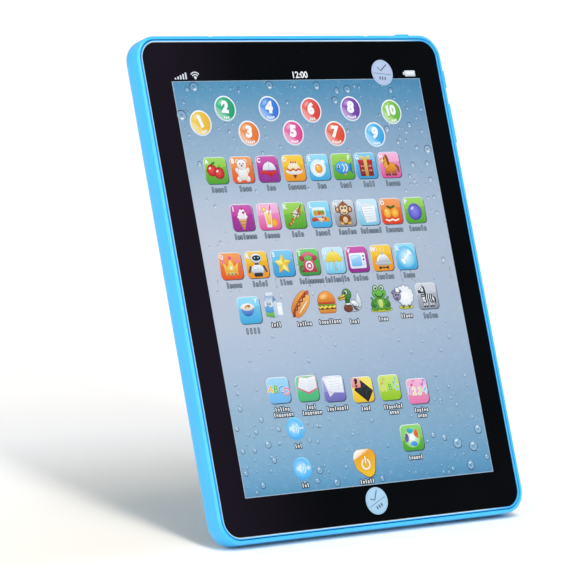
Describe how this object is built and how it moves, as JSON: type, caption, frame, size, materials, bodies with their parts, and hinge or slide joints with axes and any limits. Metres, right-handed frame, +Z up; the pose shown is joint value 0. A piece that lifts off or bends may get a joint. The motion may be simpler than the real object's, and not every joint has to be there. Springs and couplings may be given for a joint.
{
  "type": "kids toy tablet",
  "caption": "Flat toy tablet: two-part screwed plastic casing, glossy printed face with press-area keys over a membrane switch, speaker, and a hinged battery door on its back.",
  "frame": {"origin": "middle of the bottom edge, halfway through the thickness", "axes": "+X to the right as seen from the front, +Y from the printed face into the back, +Z up towards the top edge"},
  "size_m": [0.1853, 0.018, 0.2408],
  "materials": {
    "casing": "glossy moulded sky-blue plastic",
    "printed_film": "glossy clear film, printed on its back in black and colours",
    "sticker": "pale blue paper-like film",
    "circuit_film": "milky clear film with printed silver tracks",
    "circuit_board": "green solder mask",
    "chip_resin": "black resin",
    "capacitor_sleeve": "dark blue shrink sleeve",
    "connector_plastic": "off-white nylon",
    "screw_steel": "zinc-plated steel",
    "plated_sheet": "nickel-plated sheet steel and spring wire",
    "speaker_paper": "black paper cone",
    "magnet": "ferrite under a plated cup",
    "wire_red": "red insulation",
    "wire_black": "black insulation",
    "cell": "printed grey label",
    "key_number_1": "glossy printed film",
    "key_number_2": "glossy printed film",
    "key_number_3": "glossy printed film",
    "key_number_4": "glossy printed film",
    "key_number_5": "glossy printed film",
    "key_number_6": "glossy printed film",
    "key_number_7": "glossy printed film",
    "key_number_8": "glossy printed film",
    "key_number_9": "glossy printed film",
    "key_number_10": "glossy printed film",
    "key_letters": "glossy printed film",
    "key_words": "glossy printed film",
    "key_spelling": "glossy printed film",
    "key_quiz": "glossy printed film",
    "key_letter_song": "glossy printed film",
    "key_number_song": "glossy printed film",
    "key_repeat": "glossy printed film",
    "key_volume_down": "glossy printed film",
    "key_volume_up": "glossy printed film",
    "key_on_off": "glossy printed film"
  },
  "bodies": {
    "tablet": {"rear_shell": "casing", "front_housing": "casing", "printed_film": "printed_film", "sticker_top": "sticker", "sticker_bottom": "sticker", "membrane_top_circuit": "circuit_film", "membrane_spacer": "circuit_film", "membrane_bottom_circuit": "circuit_film", "membrane_tail": "circuit_film", "circuit_board": "circuit_board", "chip_blob": "chip_resin", "capacitor": "capacitor_sleeve", "cable_connector": "connector_plastic", "board_screw_1": "screw_steel", "board_screw_2": "screw_steel", "speaker_basket": "plated_sheet", "speaker_cone": "speaker_paper", "speaker_magnet": "magnet", "speaker_screw_1": "screw_steel", "speaker_screw_2": "screw_steel", "wire_battery_positive": "wire_red", "wire_battery_negative": "wire_black", "wire_speaker_positive": "wire_red", "wire_speaker_negative": "wire_black", "battery_1": "cell", "battery_2": "cell", "battery_3": "cell", "contact_positive": "plated_sheet", "contact_negative": "plated_sheet", "contact_bridge_top": "plated_sheet", "contact_bridge_bottom": "plated_sheet", "case_screw_1": "screw_steel", "case_screw_2": "screw_steel", "case_screw_3": "screw_steel", "case_screw_4": "screw_steel", "case_screw_5": "screw_steel", "case_screw_6": "screw_steel"},
    "key_number_1": {"key_number_1": "key_number_1"},
    "key_number_2": {"key_number_2": "key_number_2"},
    "key_number_3": {"key_number_3": "key_number_3"},
    "key_number_4": {"key_number_4": "key_number_4"},
    "key_number_5": {"key_number_5": "key_number_5"},
    "key_number_6": {"key_number_6": "key_number_6"},
    "key_number_7": {"key_number_7": "key_number_7"},
    "key_number_8": {"key_number_8": "key_number_8"},
    "key_number_9": {"key_number_9": "key_number_9"},
    "key_number_10": {"key_number_10": "key_number_10"},
    "key_letters": {"key_letters": "key_letters"},
    "key_words": {"key_words": "key_words"},
    "key_spelling": {"key_spelling": "key_spelling"},
    "key_quiz": {"key_quiz": "key_quiz"},
    "key_letter_song": {"key_letter_song": "key_letter_song"},
    "key_number_song": {"key_number_song": "key_number_song"},
    "key_repeat": {"key_repeat": "key_repeat"},
    "key_volume_down": {"key_volume_down": "key_volume_down"},
    "key_volume_up": {"key_volume_up": "key_volume_up"},
    "key_on_off": {"key_on_off": "key_on_off"},
    "battery_door": {"battery_door": "casing"},
    "battery_screw": {"battery_screw": "screw_steel"}
  },
  "joints": [
    {"name": "key_number_1_press", "type": "slide", "parent": "tablet", "child": "key_number_1", "axis": [0, 1, 0], "range_m": [0, 0.0003], "stiffness_N_per_m": 500},
    {"name": "key_number_2_press", "type": "slide", "parent": "tablet", "child": "key_number_2", "axis": [0, 1, 0], "range_m": [0, 0.0003], "stiffness_N_per_m": 500},
    {"name": "key_number_3_press", "type": "slide", "parent": "tablet", "child": "key_number_3", "axis": [0, 1, 0], "range_m": [0, 0.0003], "stiffness_N_per_m": 500},
    {"name": "key_number_4_press", "type": "slide", "parent": "tablet", "child": "key_number_4", "axis": [0, 1, 0], "range_m": [0, 0.0003], "stiffness_N_per_m": 500},
    {"name": "key_number_5_press", "type": "slide", "parent": "tablet", "child": "key_number_5", "axis": [0, 1, 0], "range_m": [0, 0.0003], "stiffness_N_per_m": 500},
    {"name": "key_number_6_press", "type": "slide", "parent": "tablet", "child": "key_number_6", "axis": [0, 1, 0], "range_m": [0, 0.0003], "stiffness_N_per_m": 500},
    {"name": "key_number_7_press", "type": "slide", "parent": "tablet", "child": "key_number_7", "axis": [0, 1, 0], "range_m": [0, 0.0003], "stiffness_N_per_m": 500},
    {"name": "key_number_8_press", "type": "slide", "parent": "tablet", "child": "key_number_8", "axis": [0, 1, 0], "range_m": [0, 0.0003], "stiffness_N_per_m": 500},
    {"name": "key_number_9_press", "type": "slide", "parent": "tablet", "child": "key_number_9", "axis": [0, 1, 0], "range_m": [0, 0.0003], "stiffness_N_per_m": 500},
    {"name": "key_number_10_press", "type": "slide", "parent": "tablet", "child": "key_number_10", "axis": [0, 1, 0], "range_m": [0, 0.0003], "stiffness_N_per_m": 500},
    {"name": "key_letters_press", "type": "slide", "parent": "tablet", "child": "key_letters", "axis": [0, 1, 0], "range_m": [0, 0.0003], "stiffness_N_per_m": 500},
    {"name": "key_words_press", "type": "slide", "parent": "tablet", "child": "key_words", "axis": [0, 1, 0], "range_m": [0, 0.0003], "stiffness_N_per_m": 500},
    {"name": "key_spelling_press", "type": "slide", "parent": "tablet", "child": "key_spelling", "axis": [0, 1, 0], "range_m": [0, 0.0003], "stiffness_N_per_m": 500},
    {"name": "key_quiz_press", "type": "slide", "parent": "tablet", "child": "key_quiz", "axis": [0, 1, 0], "range_m": [0, 0.0003], "stiffness_N_per_m": 500},
    {"name": "key_letter_song_press", "type": "slide", "parent": "tablet", "child": "key_letter_song", "axis": [0, 1, 0], "range_m": [0, 0.0003], "stiffness_N_per_m": 500},
    {"name": "key_number_song_press", "type": "slide", "parent": "tablet", "child": "key_number_song", "axis": [0, 1, 0], "range_m": [0, 0.0003], "stiffness_N_per_m": 500},
    {"name": "key_repeat_press", "type": "slide", "parent": "tablet", "child": "key_repeat", "axis": [0, 1, 0], "range_m": [0, 0.0003], "stiffness_N_per_m": 500},
    {"name": "key_volume_down_press", "type": "slide", "parent": "tablet", "child": "key_volume_down", "axis": [0, 1, 0], "range_m": [0, 0.0003], "stiffness_N_per_m": 500},
    {"name": "key_volume_up_press", "type": "slide", "parent": "tablet", "child": "key_volume_up", "axis": [0, 1, 0], "range_m": [0, 0.0003], "stiffness_N_per_m": 500},
    {"name": "key_on_off_press", "type": "slide", "parent": "tablet", "child": "key_on_off", "axis": [0, 1, 0], "range_m": [0, 0.0003], "stiffness_N_per_m": 500},
    {"name": "battery_door_hinge", "type": "hinge", "parent": "tablet", "child": "battery_door", "pos_m": [0, 0.0072, 0.0985], "axis": [-1, 0, 0], "range_deg": [0, 95]},
    {"name": "battery_screw_turn", "type": "hinge", "parent": "battery_door", "child": "battery_screw", "pos_m": [0, 0.0077, 0.1595], "axis": [0, 1, 0], "continuous": true}
  ]
}
